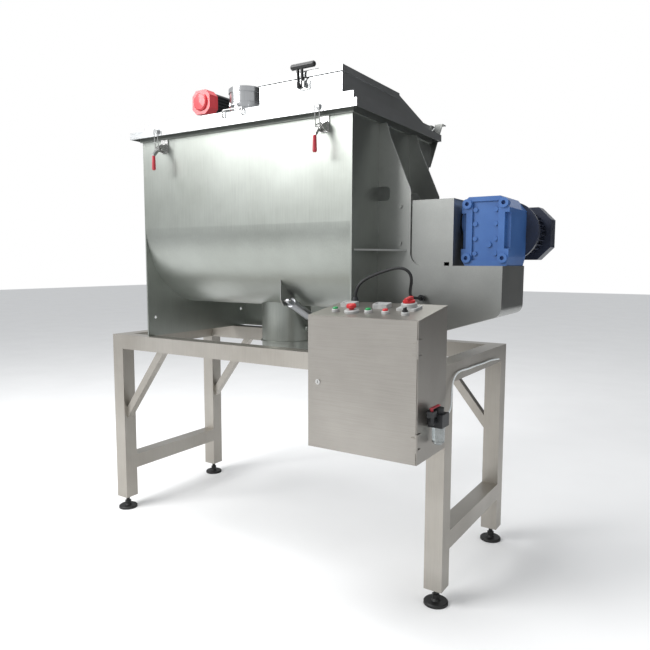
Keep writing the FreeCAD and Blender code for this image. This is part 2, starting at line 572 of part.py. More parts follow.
# ---------------------------------------------------------------- lid, hood, cover
def build_lid():
    flange = block("lid_left", "lid_right", "lid_front", "lid_back", "lid_skirt_low", "lid_flange_top")
    pan = block("pan_left", "pan_right", "pan_front", "pan_back", "lid_flange_top - 1", "pan_top")
    under_flange = block("lid_left + lid_sheet", "lid_right - lid_sheet", "lid_front + lid_sheet",
                         "lid_back - lid_sheet", "lid_skirt_low - 5", "lid_flange_top - lid_sheet")
    under_pan = block("pan_left + lid_sheet", "pan_right - lid_sheet", "pan_front + lid_sheet",
                      "pan_back - lid_sheet", "lid_skirt_low", "pan_top - lid_sheet")
    feed = block("hood_left + feed_margin", "hood_right - feed_margin", "hood_front + feed_margin + 10",
                 "hood_kink", "pan_top - 20", "pan_top + 5")
    vent = rod("Z", "vent_radius - vent_wall - 2", "pan_top - 20", "pan_top + 5", x="vent_x", y="vent_y")
    sheet_metal = cut(union(flange, pan), under_flange, under_pan, feed, vent)
    arms = []
    for x in ("1557", "trough_left + trough_right - 1567"):
        arm = plate("YZ", x, "10",
                    [("lid_back - 45", "lid_flange_top"), ("lid_back - 3", "lid_flange_top"),
                     ("lid_hinge_y + 2", "lid_hinge_z - 15"), ("lid_hinge_y + 12", "lid_hinge_z"),
                     ("lid_hinge_y", "lid_hinge_z + 14"), ("lid_hinge_y - 14", "lid_hinge_z + 8")],
                    [("lid_hinge_y", "lid_hinge_z", "lid_pin_radius + running_gap")])
        arms.append(arm)
    catches = []
    for x in ("clamp_left_x", "clamp_right_x"):
        catches.append(plate("YZ", x + " - 8", "16",
                             [("lid_front", "lid_skirt_low + 4"), ("lid_front - 11", "lid_skirt_low + 15"),
                              ("lid_front - 11", "lid_skirt_low + 27"), ("lid_front - 7", "lid_skirt_low + 27"),
                              ("lid_front - 7", "lid_skirt_low + 18"), ("lid_front - 4", "lid_skirt_low + 15"),
                              ("lid_front - 4", "lid_skirt_low + 32"), ("lid_front", "lid_skirt_low + 32")]))
    sub_part("lid_sheet", union(sheet_metal, *(arms + catches)))

    handle = bent_rod([("handle_left", "pan_front", "handle_low"), ("handle_left", "handle_y", "handle_low"),
                       ("handle_left", "handle_y", "handle_top"), ("handle_right", "handle_y", "handle_top"),
                       ("handle_right", "handle_y", "handle_low"), ("handle_right", "pan_front", "handle_low")],
                      "handle_rod", "handle_rod + 3")
    sub_part("lid_handle", handle)

    side = [("hood_front", "pan_top"), ("hood_front", "hood_top"), ("hood_kink", "hood_top"),
            ("hood_back", "hood_tail_top"), ("hood_back", "lid_flange_top"), ("pan_back", "lid_flange_top"),
            ("pan_back", "pan_top")]
    hollow = [("hood_front + hood_wall", "lid_flange_top - 10"), ("hood_front + hood_wall", "hood_top + 20"),
              ("hood_kink - 3", "hood_top + 20"), ("hood_kink - 3", "hood_top - hood_wall"),
              ("hood_kink", "hood_top - hood_wall"), ("hood_back - hood_wall", "hood_tail_top - hood_wall"),
              ("hood_back - hood_wall", "lid_flange_top - 10")]
    shell = cut(plate("YZ", "hood_left", "hood_right - hood_left", side),
                plate("YZ", "hood_left + hood_wall", "hood_right - hood_left - 2 * hood_wall", hollow))
    pin = rod("X", "hinge_pin_radius", "hood_left + 20", "hood_right - 20", y="hood_kink", z="cover_hinge_z")
    leaves = []
    for start, end in (("hood_left + 20", "hood_left + 60"), ("hood_left + 181", "hood_right - 181"),
                       ("hood_right - 60", "hood_right - 20")):
        leaves.append(rod("X", "knuckle_radius", start, end, y="hood_kink", z="cover_hinge_z"))
        leaves.append(block(start, end, "hood_kink + 1", "hood_kink + 7", "hood_top - 6", "cover_hinge_z"))
    base = union(block("latch_left + 9", "latch_left + 82", "hood_front - 6", "hood_front", "latch_pivot_z - 20",
                       "latch_pivot_z + 20"),
                 block("latch_left + 22", "latch_left + 28", "latch_pivot_y - 9", "hood_front - 3",
                       "latch_pivot_z - 12", "latch_pivot_z + 12"),
                 block("latch_left + 60", "latch_left + 66", "latch_pivot_y - 9", "hood_front - 3",
                       "latch_pivot_z - 12", "latch_pivot_z + 12"))
    bore = rod("X", "hinge_pin_radius + running_gap", "latch_left", "latch_right", y="latch_pivot_y",
               z="latch_pivot_z")
    sub_part("feed_hood", union(shell, pin, cut(base, bore), *leaves))

    top = "hood_top + cover_sheet"
    outer = block("cover_left", "cover_right", "cover_front", "hood_kink - 2", top + " - cover_fold", top)
    inner = block("cover_left + cover_sheet", "cover_right - cover_sheet", "cover_front + cover_sheet",
                  "hood_kink + 5", top + " - cover_fold - 5", "hood_top")
    knuckles = []
    for start, end in (("hood_left + 61", "hood_left + 180"), ("hood_right - 180", "hood_right - 61")):
        barrel = union(rod("X", "knuckle_radius", start, end, y="hood_kink", z="cover_hinge_z"),
                       block(start, end, "hood_kink - 7", "hood_kink - 2", top, "cover_hinge_z"))
        knuckles.append(cut(barrel, rod("X", "hinge_pin_radius + running_gap", "hood_left", "hood_right",
                                        y="hood_kink", z="cover_hinge_z")))
    sub_part("feed_cover", union(cut(outer, inner), *knuckles))

    pin = rod("X", "hinge_pin_radius", "latch_left + 18", "latch_left + 70", y="latch_pivot_y", z="latch_pivot_z")
    arms = []
    for start in ("latch_left + 30", "latch_left + 52"):
        arms.append(plate("YZ", start, "6",
                          [("latch_pivot_y - 7", "latch_pivot_z - 7"), ("latch_pivot_y + 7", "latch_pivot_z - 7"),
                           ("latch_pivot_y + 5", "latch_pivot_z + 30"), ("latch_grip_y + 7", "latch_grip_z"),
                           ("latch_grip_y - 7", "latch_grip_z"), ("latch_pivot_y - 12", "latch_pivot_z + 30")]))
    grip = turned([("0", "0"), ("latch_grip_radius - 4", "0"), ("latch_grip_radius", "5"),
                   ("latch_grip_radius", "latch_right - latch_left - 5"),
                   ("latch_grip_radius - 4", "latch_right - latch_left"), ("0", "latch_right - latch_left")],
                  "X", "latch_left", "latch_grip_y", "latch_grip_z")
    sub_part("feed_latch_grip", union(pin, grip, *arms))


def build_vent_and_shaker():
    def band(low, high, proud):
        return cut(rod("Z", "vent_radius + " + proud, low, high, x="vent_x", y="vent_y"),
                   rod("Z", "vent_radius - 1", low + " - 1", high + " + 1", x="vent_x", y="vent_y"))
    sleeve = cut(rod("Z", "vent_radius", "pan_top", "vent_top", x="vent_x", y="vent_y"),
                 rod("Z", "vent_radius - vent_wall", "pan_top - 5", "vent_top + 5", x="vent_x", y="vent_y"))
    lip = band("vent_top - 26", "vent_top - 4", "4")
    clamp_band = band("vent_top - 104", "vent_top - 84", "4")
    bead = band("vent_top - 76", "vent_top - 72", "2.5")
    foot_ring = band("pan_top", "pan_top + 5", "12")
    bolt = union(block("vent_x - 22", "vent_x - 17", "vent_y - vent_radius - 19", "vent_y - vent_radius + 2",
                       "vent_top - 102", "vent_top - 86"),
                 block("vent_x + 17", "vent_x + 22", "vent_y - vent_radius - 19", "vent_y - vent_radius + 2",
                       "vent_top - 102", "vent_top - 86"),
                 rod("X", "3", "vent_x - 30", "vent_x + 30", y="vent_y - vent_radius - 12", z="vent_top - 94"))
    sub_part("vent_sleeve", union(sleeve, lip, clamp_band, bead, foot_ring, bolt))

    # The shaker: an eight-sided end cap with a round cover, and a square finned body on a foot.
    x, z, half, nick = "shaker_x", "shaker_z", "shaker_cap_size / 2", "28"
    octagon = [(x + " - %s + %s" % (half, nick), z + " - " + half), (x + " + %s - %s" % (half, nick), z + " - " + half),
               (x + " + " + half, z + " - %s + %s" % (half, nick)), (x + " + " + half, z + " + %s - %s" % (half, nick)),
               (x + " + %s - %s" % (half, nick), z + " + " + half), (x + " - %s + %s" % (half, nick), z + " + " + half),
               (x + " - " + half, z + " + %s - %s" % (half, nick)), (x + " - " + half, z + " - %s + %s" % (half, nick))]
    cap = plate("XZ", "shaker_front", "shaker_cap_depth", octagon)
    cover = turned([("0", "-1"), ("45", "-1"), ("45", "6"), ("38", "12"), ("0", "14")], "Y", x, "shaker_front", z)
    cover.Placement = FreeCAD.Placement(Vector(), FreeCAD.Rotation(Vector(1, 0, 0), 90))
    at(cover, x, "shaker_front", z)
    sub_part("shaker_cap", union(cap, cover))

    side, start, end = "shaker_body / 2", "shaker_front + shaker_cap_depth", "shaker_front + shaker_length"
    body = plate("XZ", start, "shaker_length - shaker_cap_depth",
                 rectangle(x + " - " + side, x + " + " + side, z + " - " + side, z + " + " + side),
                 rounds=[(x + " - " + side, z + " - " + side, "16"), (x + " + " + side, z + " - " + side, "16"),
                         (x + " - " + side, z + " + " + side, "16"), (x + " + " + side, z + " + " + side, "16")])
    grooves = []
    for step in range(5):
        low = z + " - 36 + %d" % (16 * step)
        for face in (x + " - " + side + " - 1", x + " + " + side + " - 5"):
            grooves.append(block(face, face + " + 6", start + " + 14", end + " - 14", low, low + " + 8"))
    foot = block(x + " - 45", x + " + 45", start + " + 2", end + " - 12", "pan_top", z + " - " + side + " + 2")
    sub_part("shaker_motor", union(cut(body, *grooves), foot))


def build_clamp(side, x):
    # A vertical toggle clamp: base with two ears, lever with a grip, wire bail over the catch on the lid.
    y, z = "clamp_pivot_y", "clamp_pivot_z"
    base = block(x + " - 25", x + " + 25", "trough_front - 6", "trough_front", z + " - 22", z + " + 46")
    ears = [plate("YZ", x + start, "3",
                  [("trough_front - 6", z + " - 20"), ("trough_front - 6", z + " + 26"), (y + " + 2", z + " + 10"),
                   (y + " - 9", z), (y + " + 2", z + " - 12")],
                  [(y, z, "4 + running_gap")]) for start in (" - 19", " + 16")]
    base_whole = union(base, *ears)

    pin_y, pin_z = y + " - clamp_throw", z + " - clamp_throw"
    hub = rod("X", "8", x + " - 8", x + " + 8", y=y, z=z)
    arm = plate("YZ", x + " - 8", "16",
                [(y + " + 6", z + " - 5"), (y + " - 5", z + " + 6"), (pin_y + " - 5", pin_z + " + 4"),
                 ("clamp_grip_y - 6", "clamp_grip_top + 8"), ("clamp_grip_y - 6", "clamp_grip_top"),
                 ("clamp_grip_y + 6", "clamp_grip_top"), (pin_y + " + 5", pin_z + " - 7")])
    pivot = rod("X", "4", x + " - 20", x + " + 20", y=y, z=z)
    bail_pin = rod("X", "3", x + " - 15.5", x + " + 15.5", y=pin_y, z=pin_z)
    sub_part("clamp_lever_" + side, union(hub, arm, pivot, bail_pin))
    grip = turned([("0", "0"), ("clamp_grip_radius - 3", "0"), ("clamp_grip_radius", "6"),
                   ("clamp_grip_radius - 2", "clamp_grip_top - clamp_grip_low"),
                   ("0", "clamp_grip_top - clamp_grip_low")], "Z", x, "clamp_grip_y", "clamp_grip_low")
    sub_part("clamp_grip_" + side, grip)

    left, right = x + " - bail_half", x + " + bail_half"
    wire = bent_rod([(left, pin_y, pin_z + " + 4.3"), (left, "bail_top_y", "bail_top"),
                     (right, "bail_top_y", "bail_top"), (right, pin_y, pin_z + " + 4.3")], "bail_rod", "6")
    eyes = [turned([("3 + running_gap", "0"), ("6", "0"), ("6", "5"), ("3 + running_gap", "5")], "X",
                   leg + " - 2.5", pin_y, pin_z) for leg in (left, right)]
    sub_part("clamp_bail_" + side, union(wire, *eyes))
    return base_whole


# ---------------------------------------------------------------- agitator
def build_agitator():
    sub_part("agitator_shaft", shaft_cylinder("shaft_radius", "shaft_left", "shaft_right"))
    half_pitch = size("ribbon_pitch") / 2
    stations = [size("ribbon_left") + half_pitch * index for index in range(2 * int(size("ribbon_turns")) + 1)]
    for label, outer, width, hand, turn in (("outer_ribbon", "outer_radius", "outer_width", 1, 0),
                                            ("inner_ribbon", "inner_radius", "inner_width", -1, 90)):
        solids = [helical_ribbon(size(outer), size(width), hand, turn + start) for start in (0, 180)]
        reach = size(outer) - size(width) + 12
        for x in stations:
            for half_turn in (0, 180):
                solids.append(spoke(x, turn + half_turn, reach))
        whole = solids[0].multiFuse(solids[1:])
        sub_part(label, formed(whole, "Ribbon"))


# ---------------------------------------------------------------- drive
def build_drive():
    notch_low, notch_high = "shaft_z + 104", "shaft_z + 168"
    neck_top = "trough_top - rim_height - 2"
    outline = [("trough_right", "frame_top + 3"), ("deck_right - 1", "deck_low"), ("deck_right", "deck_top"),
               ("cheek_edge", "deck_top"), ("cheek_edge", "cheek_knee_z"), ("cheek_neck_x", "cheek_neck_z"),
               ("cheek_neck_x - 21", neck_top), ("trough_right", neck_top), ("trough_right", notch_high),
               ("trough_right + 59", notch_high), ("trough_right + 59", notch_low), ("trough_right", notch_low)]
    rounds = [("deck_right - 1", "deck_low", "deck_round"), ("cheek_edge", "deck_top", "58"),
              ("cheek_edge", "cheek_knee_z", "40"), ("cheek_neck_x", "cheek_neck_z", "120"),
              ("trough_right + 59", notch_high, "20"), ("trough_right + 59", notch_low, "20")]
    cheeks = [plate("XZ", y, "cheek_sheet", outline, rounds=rounds) for y in ("cheek_front", "cheek_back")]
    sub_part("drive_cheeks", *cheeks)

    width = "cheek_back - cheek_front - cheek_sheet"
    outer = plate("XZ", "cheek_front + cheek_sheet", width,
                  [("trough_right + 10", "frame_top + 6.2"), ("deck_right - 1", "deck_low"),
                   ("deck_right", "deck_top"), ("trough_right + 10", "deck_top")],
                  rounds=[("deck_right - 1", "deck_low", "deck_round")])
    hollow = plate("XZ", "cheek_front + cheek_sheet - 1", width + " + 2",
                   [("trough_right + 5", "frame_top + 11"), ("deck_right - 1 - tray_sheet", "deck_low + tray_sheet + 1.6"),
                    ("deck_right - tray_sheet", "deck_top - tray_sheet"), ("trough_right + 5", "deck_top - tray_sheet")],
                   rounds=[("deck_right - 1 - tray_sheet", "deck_low + tray_sheet + 1.6", "deck_round - tray_sheet")])
    gap = block("trough_right", "cheek_edge + 40", "cheek_front", "cheek_back + cheek_sheet", "deck_top - 20",
                "deck_top + 5")
    sub_part("drive_tray", cut(outer, hollow, gap))

    fittings = [plate("XY", "gusset_z", "8", [("trough_right", "gusset_y"), ("trough_right", "cheek_front"),
                                             ("1715", "cheek_front")])]
    for z in ("deck_top + 102", "deck_top + 269"):
        fittings.append(rod("Y", "9", "cheek_front - 7", "cheek_front", x="1679", z=z))
    sub_part("cheek_stiffeners", *fittings)

    front, back = "cheek_front + cheek_sheet + 1", "cheek_back - 1"
    outer = block("guard_left", "guard_right", front, back, "deck_top", "guard_top")
    inner = block("guard_left + guard_sheet", "guard_right - guard_sheet", front + " + guard_sheet",
                  back + " - guard_sheet", "deck_top - 5", "guard_top - guard_sheet")
    way = shaft_cylinder("shaft_radius + 15", "guard_left - 10", "guard_right + 10")
    slot = block("guard_right - 40", "guard_right - 16", front + " - 5", front + " + 5", "deck_top", "deck_top + 16")
    sub_part("coupling_guard", cut(outer, inner, way, slot))


def build_gearbox():
    left, right, top, low = "gear_left", "gear_right", "gear_top", "deck_top"
    casing = plate("XZ", "gear_front", "gear_back - gear_front",
                   [(left + " + 18", low), (right + " - 10", low), (right, low + " + 40"), (right, top + " - 50"),
                    (right + " - 40", top), (left + " + 30", top), (left, top + " - 30"), (left, low + " + 30")])
    # The front: a sunk cover between two columns that narrow at the waist, with a bored lug at each corner.
    cover = block(left + " + 48", right + " - 48", "gear_front - 5", "gear_front + 9", low + " + 24", top + " - 20")
    waists = [block(left + " - 5", left + " + 20", "gear_front - 5", "gear_front + 26", low + " + 74", top + " - 70"),
              block(right + " - 20", right + " + 5", "gear_front - 5", "gear_front + 26", low + " + 74",
                    top + " - 70")]
    lugs, lug_holes, pads = [], [], []
    for x in (left + " + 25", right + " - 25"):
        for z in (low + " + 34", top + " - 30"):
            lugs.append(rod("Y", "21", "gear_front - 10", "gear_front + 24", x=x, z=z))
            lug_holes.append(rod("Y", "9", "gear_front - 20", "gear_front + 8", x=x, z=z))
    for x in (left + " + 60", right + " - 60"):
        for z in (low + " + 54", low + " + 118", low + " + 182", top + " - 56"):
            pads.append(rod("Y", "10", "gear_front + 2", "gear_front + 14", x=x, z=z))
    plug = rod("Y", "13", "gear_front + 1", "gear_front + 14", x=left + " + 121", z=low + " + 93")
    ribs = lugs + pads + [plug]
    nose = shaft_cylinder("70", "gear_left - 14", "gear_left + 20")
    bore = shaft_cylinder("shaft_radius + running_gap", "gear_left - 20", "shaft_right + 4")
    sub_part("gearbox_housing", cut(union(cut(casing, cover, *waists), nose, *ribs), bore, *lug_holes))


def build_motor():
    x, z = "motor_x", "motor_z"
    bell = turned([("0", "0"), ("motor_flange_radius", "0"), ("motor_flange_radius", "16"),
                   ("motor_flange_radius - 12", "16"), ("motor_flange_radius - 12", "30"),
                   ("motor_flange_radius - 4", "30"), ("motor_flange_radius - 4", "44"),
                   ("motor_flange_radius - 16", "50"), ("motor_flange_radius - 24", "84"),
                   ("motor_radius", "motor_bell_back - gear_back"), ("0", "motor_bell_back - gear_back")],
                  "Y", x, "gear_back", z)
    core = rod("Y", "motor_radius", "motor_bell_back - 2", "motor_body_back", x=x, z=z)
    fins = []
    count = 28
    reach, thick = size("motor_radius + fin_height"), size("fin_sheet")
    start, length = size("motor_bell_back + 8"), size("motor_body_back - motor_bell_back - 8")
    for index in range(count):
        fin = Part.makeBox(reach - 60, length, thick, Vector(60, 0, -thick / 2))
        fin.rotate(Vector(), Vector(0, 1, 0), 360.0 * (index + 0.5) / count)
        fin.translate(Vector(size(x), start, size(z)))
        fins.append(fin)
    sub_part("motor_body", union(bell, core, formed(fins[0].multiFuse(fins[1:]), "Fins")))

    half, nick = "cowl_size / 2", "cowl_chamfer"
    sides = [(x + " - " + half + " + " + nick, z + " - " + half), (x + " + " + half + " - " + nick, z + " - " + half),
             (x + " + " + half, z + " - " + half + " + " + nick), (x + " + " + half, z + " + " + half + " - " + nick),
             (x + " + " + half + " - " + nick, z + " + " + half), (x + " - " + half + " + " + nick, z + " + " + half),
             (x + " - " + half, z + " + " + half + " - " + nick), (x + " - " + half, z + " - " + half + " + " + nick)]
    cowl = plate("XZ", "motor_body_back", "cowl_back - motor_body_back", sides)
    sub_part("motor_fan_cowl", cowl)


# ---------------------------------------------------------------- discharge valve and its cylinder
def build_discharge():
    radius = "spout_radius - spout_wall - valve_gap"
    disc = rod("Z", radius, "valve_z - valve_sheet / 2", "valve_z + valve_sheet / 2", x="spout_x", y=SHAFT_Y)
    spindle = rod("X", "spindle_radius", "spout_x - spout_radius - 20", "cylinder_x - 10", y=SHAFT_Y, z="valve_z")
    offset = "crank_radius * 0.7071"
    tip_y, tip_z = SHAFT_Y + " - " + offset, "valve_z + " + offset
    arm = plate("YZ", "cylinder_x - 18", "8",
                [(tip_y + " - 12", tip_z + " - 4"), (tip_y + " + 4", tip_z + " + 12"),
                 (SHAFT_Y + " + 16", "valve_z + 4"), (SHAFT_Y + " - 4", "valve_z - 16")])
    sub_part("discharge_valve", union(disc, spindle, arm))

    # The cylinder lies along the line from its bracket pin to the crank's tip.
    pivot = Vector(size("cylinder_x"), size("cylinder_y"), size("cylinder_z"))
    tip = Vector(size("cylinder_x"), size(tip_y), size(tip_z))
    stroke_line = tip - pivot
    slope = FreeCAD.Rotation(Vector(0, 0, 1), stroke_line)

    def along(radius_text, start, end):
        bar = Part.makeCylinder(size(radius_text), size(end) - size(start), Vector(0, 0, size(start)))
        bar.Placement = FreeCAD.Placement(pivot, slope)
        return bar

    def across(radius_text, centre, half):
        return Part.makeCylinder(size(radius_text), 2 * half, centre - Vector(half, 0, 0), Vector(1, 0, 0))

    barrel = along("barrel_radius", "barrel_near", "barrel_far")
    tang = Part.makeBox(16, 24, size("barrel_near"), Vector(-8, -12, 0))
    tang.Placement = FreeCAD.Placement(pivot, slope)
    barrel = barrel.fuse([tang, across("12", pivot, 8)])
    barrel = barrel.cut([along("barrel_bore + running_gap", "barrel_near + 8", "barrel_far - 12"),
                         along("rod_radius + running_gap", "barrel_far - 20", "barrel_far + 5"),
                         across("rod_radius + running_gap", pivot, 20)])
    sub_part("cylinder_barrel", formed(barrel, "Barrel"))
    reach = stroke_line.Length
    piston = along("barrel_bore", "barrel_near + 12", "barrel_near + 26")
    shank = along("rod_radius", "barrel_near + 20", str(reach - 6))
    eye = across("13", tip, 8)
    pin = Part.makeCylinder(size("rod_radius"), 8, tip + Vector(8, 0, 0), Vector(1, 0, 0))
    sub_part("cylinder_rod", formed(piston.fuse([shank, eye, pin]), "PistonRod"))
    print("cylinder: reach %.1f, direction (%.4f, %.4f)" % (reach, stroke_line.y / reach, stroke_line.z / reach))


# ---------------------------------------------------------------- control box, console, air regulator
def slope_z(y):
    return "(box_front_top + (box_back_top - box_front_top) * ((%s) - box_front) / (0 - box_front))" % y


def on_slope(thing, x, y, lift):
    # Stand a piece on the sloped console top.
    angle = math.degrees(math.atan2(size("box_back_top - box_front_top"), -size("box_front")))
    thing.Placement = FreeCAD.Placement(Vector(), FreeCAD.Rotation(Vector(1, 0, 0), angle))
    normal_y, normal_z = -math.sin(math.radians(angle)), math.cos(math.radians(angle))
    return at(thing, x, "%s + (%s) * %.6f" % (y, lift, normal_y),
              slope_z(y) + " + (%s) * %.6f" % (lift, normal_z))


def console_piece(x, y, profile, lift="0"):
    return on_slope(turned(profile, "Z", x, y, "0"), x, y, lift)


CONSOLE = {"green_button_left": ("1622", "-195"), "green_button_right": ("1769", "-190"),
           "red_button": ("1845", "-190"), "emergency_stop": ("1697", "-195"), "selector_knob": ("1931", "-195"),
           "isolator_knob": ("1903", "-98")}


def meter(x, y):
    # A square panel meter: a bezel with a sunk window that leans towards the reader.
    body = plate("XY", "0", "18", rectangle("-33", "33", "-24", "24"),
                 rounds=[("-33", "-24", "4"), ("33", "-24", "4"), ("-33", "24", "4"), ("33", "24", "4")])
    return cut(body, block("-27", "27", "-18", "18", "15", "20"))


def build_console():
    bezels = []
    for name in ("green_button_left", "green_button_right", "red_button", "selector_knob"):
        x, y = CONSOLE[name]
        bezels.append(console_piece(x, y, [("11.3", "0"), ("16", "0"), ("16", "9"), ("14", "12"), ("11.3", "12")]))
    x, y = CONSOLE["emergency_stop"]
    bezels.append(console_piece(x, y, [("10.3", "0"), ("30", "0"), ("30", "8"), ("27", "11"), ("10.3", "11")]))
    for x in ("1628", "1780"):
        bezels.append(on_slope(meter(x, "-92"), x, "-92", "0"))
    x, y = CONSOLE["isolator_knob"]
    plinth = on_slope(plate("XY", "0", "9", rectangle("-42", "42", "-38", "38"),
                            rounds=[("-42", "-38", "8"), ("42", "-38", "8"), ("-42", "38", "8"), ("42", "38", "8")]),
                      x, y, "0")
    collar = console_piece(x, y, [("0", "8"), ("32", "8"), ("32", "24"), ("29", "27"), ("0", "27")])
    bezels.append(cut(union(plinth, collar), console_piece(x, y, [("0", "-5"), ("10.3", "-5"), ("10.3", "40"),
                                                                 ("0", "40")])))
    sub_part("console_bezels", *bezels)
    for name in ("green_button_left", "green_button_right", "red_button"):
        x, y = CONSOLE[name]
        sub_part(name, console_piece(x, y, [("0", "3"), ("11", "3"), ("11", "16"), ("9", "19"), ("0", "20")]))
    x, y = CONSOLE["emergency_stop"]
    sub_part("emergency_stop", console_piece(x, y, [("0", "4"), ("10", "4"), ("10", "18"), ("18", "18"),
                                                    ("20", "22"), ("20", "30"), ("16", "34"), ("0", "34")]))
    x, y = CONSOLE["selector_knob"]
    knob = console_piece(x, y, [("0", "3"), ("11", "3"), ("11", "18"), ("0", "18")])
    vane = doc.addObject("Part::Box", "Vane")
    bind(vane, Length="6", Width="22", Height="12")
    knob_whole = union(knob, on_vane(vane, x, y, "3", "11", "16"))
    sub_part("selector_knob", knob_whole)
    x, y = CONSOLE["isolator_knob"]
    knob = console_piece(x, y, [("0", "6"), ("10", "6"), ("10", "28"), ("25", "28"), ("24", "36"), ("0", "36")])
    vane = doc.addObject("Part::Box", "Vane")
    bind(vane, Length="14", Width="56", Height="14")
    sub_part("isolator_knob", union(knob, on_vane(vane, x, y, "7", "28", "34")))


def on_vane(vane, x, y, half_width, half_length, lift):
    # Lay a finger bar centred on a knob, square to the sloped top.
    angle = math.atan2(size("box_back_top - box_front_top"), -size("box_front"))
    on_slope(vane, x, y, lift)
    along_y = "(%s) * %.6f" % (half_length, math.cos(angle))
    along_z = "(%s) * %.6f" % (half_length, math.sin(angle))
    rise_y, rise_z = -math.sin(angle), math.cos(angle)
    return at(vane, "%s - (%s)" % (x, half_width), "%s + (%s) * %.6f - %s" % (y, lift, rise_y, along_y),
              slope_z(y) + " + (%s) * %.6f - %s" % (lift, rise_z, along_z))


def build_box():
    outer = plate("YZ", "box_left", "box_right - box_left",
                  [("box_front", "box_low"), ("0", "box_low"), ("0", "box_back_top"), ("box_front", "box_front_top")])
    inner = plate("YZ", "box_left + box_sheet", "box_right - box_left - 2 * box_sheet",
                  [("box_front + box_sheet", "box_low + box_sheet"), ("-box_sheet", "box_low + box_sheet"),
                   ("-box_sheet", "box_back_top - box_sheet - 0.5"),
                   ("box_front + box_sheet", "box_front_top - box_sheet")])
    doorway = block("box_left + 30", "box_right - 30", "box_front - 5", "box_front + 10", "box_low + 30",
                    "box_front_top - 36")
    holes = []
    for name, radius in (("green_button_left", "11.3"), ("green_button_right", "11.3"), ("red_button", "11.3"),
                         ("selector_knob", "11.3"), ("emergency_stop", "10.3"), ("isolator_knob", "10.3")):
        x, y = CONSOLE[name]
        drill = doc.addObject("Part::Cylinder", "Drill")
        bind(drill, Radius=radius, Height="40")
        holes.append(on_slope(drill, x, y, "-20"))
    shell = cut(outer, inner, doorway, *holes)

    face = "box_front - door_sheet"
    panel = block("box_left + door_inset", "box_right - door_inset", face, "box_front", "box_low + door_inset",
                  "box_front_top - door_inset")
    lock_hole = rod("Y", "lock_radius + running_gap", face + " - 5", "box_front + 5", x="lock_x", z="lock_z")
    hinge_x, hinge_y = "box_right + 1", face + " - 3"
    knuckles = []
    for low in ("box_low + 62", "box_low + 412"):
        knuckles.append(union(rod("Z", "door_hinge_radius", low, low + " + 44", x=hinge_x, y=hinge_y),
                              block("box_right - 22", hinge_x, hinge_y + " - 2", face, low, low + " + 44")))
    bores = rod("Z", "hinge_pin_radius + running_gap", "box_low", "box_front_top", x=hinge_x, y=hinge_y)
    sub_part("box_door", cut(union(panel, *knuckles), lock_hole, bores))
    pins = []
    for low in ("box_low + 62", "box_low + 412"):
        for start, end in ((low + " - 13", low + " - 1"), (low + " + 45", low + " + 57")):
            pins.append(union(rod("Z", "door_hinge_radius", start, end, x=hinge_x, y=hinge_y),
                              block("box_right", "box_right + 6", hinge_y, "box_front + 24", start, end)))
        pins.append(rod("Z", "hinge_pin_radius", low + " - 2", low + " + 46", x=hinge_x, y=hinge_y))
    sub_part("control_box", union(shell, *pins))
    barrel = rod("Y", "lock_radius", face + " - 3", "box_front + 22", x="lock_x", z="lock_z")
    cam = block("lock_x - 6", "lock_x + 6", "box_front + 14", "box_front + 18", "lock_z", "lock_z + 34")
    slot = block("lock_x - 1", "lock_x + 1", face + " - 5", face + " + 4", "lock_z - 6", "lock_z + 6")
    sub_part("door_lock", cut(union(barrel, cam), slot))


def build_cable():
    points = [(1614, -20, 1271), (1614, -27, 1320), (1636, -19, 1362), (1692, 4, 1390), (1752, 20, 1412),
              (1806, 32, 1424), (1842, 42, 1400), (1842, 54, 1362), (1824, 76, 1328), (1806, 116, 1302),
              (1797, 160, 1288), (1797, 214, 1284), (1797, 264, 1284)]
    sub_part("supply_cable", cable(points, 6.5))
    profile = [("7.4", "0"), ("14", "0"), ("14", "14"), ("10", "26"), ("7.4", "26")]
    glands = [console_piece("1614", "-20", profile), turned(profile, "Y", "1797", "cheek_front - 26", "1284")]
    sub_part("cable_glands", *glands)


def build_air():
    y, z = "regulator_y", "regulator_z"
    wall = "box_right"
    body = union(block(wall, wall + " + 6", y + " - 30", y + " + 30", z + " - 20", z + " + 30"),
                 block(wall + " + 4", wall + " + 62", y + " - 34", y + " + 34", z + " - 30", z + " + 20"),
                 rod("Z", "20", z + " + 19", z + " + 42", x=wall + " + 33", y=y),
                 rod("Y", "11", y + " - 70", y + " + 64", x=wall + " + 33", z=z + " - 4"),
                 rod("Z", "9", z + " - 4", z + " + 22", x=wall + " + 33", y=y + " - 66"),
                 block(wall + " + 20", wall + " + 46", y + " - 84", y + " - 50", z + " + 18", z + " + 40"))
    sub_part("air_regulator", body)
    bowl = turned([("0", "0"), ("bowl_radius - 10", "0"), ("bowl_radius - 2", "10"), ("bowl_radius", "70"),
                   ("0", "70")], "Z", wall + " + 33", y, z + " - 100")
    sub_part("air_bowl", bowl)
    stalk_y = y + " - 67"
    lever = union(rod("Z", "6", z + " + 40", z + " + 50", x=wall + " + 33", y=stalk_y),
                  block(wall + " + 27", wall + " + 39", stalk_y + " - 8", stalk_y + " + 70", z + " + 49",
                        z + " + 53"))
    sub_part("air_shutoff_lever", lever)
    points = [(2056, -87, 849), (2056, -54, 848), (2052, -18, 858), (2044, 12, 884), (2036, 32, 924),
              (2031, 56, 962), (2030, 92, 983), (2030, 140, 990), (2031, 200, 987), (2030, 262, 984),
              (2031, 330, 986), (2031, 400, 983), (2030, 470, 981), (2031, 540, 983), (2033, 600, 979),
              (2037, 652, 975)]
    sub_part("air_tube", cable(points, 3.5))


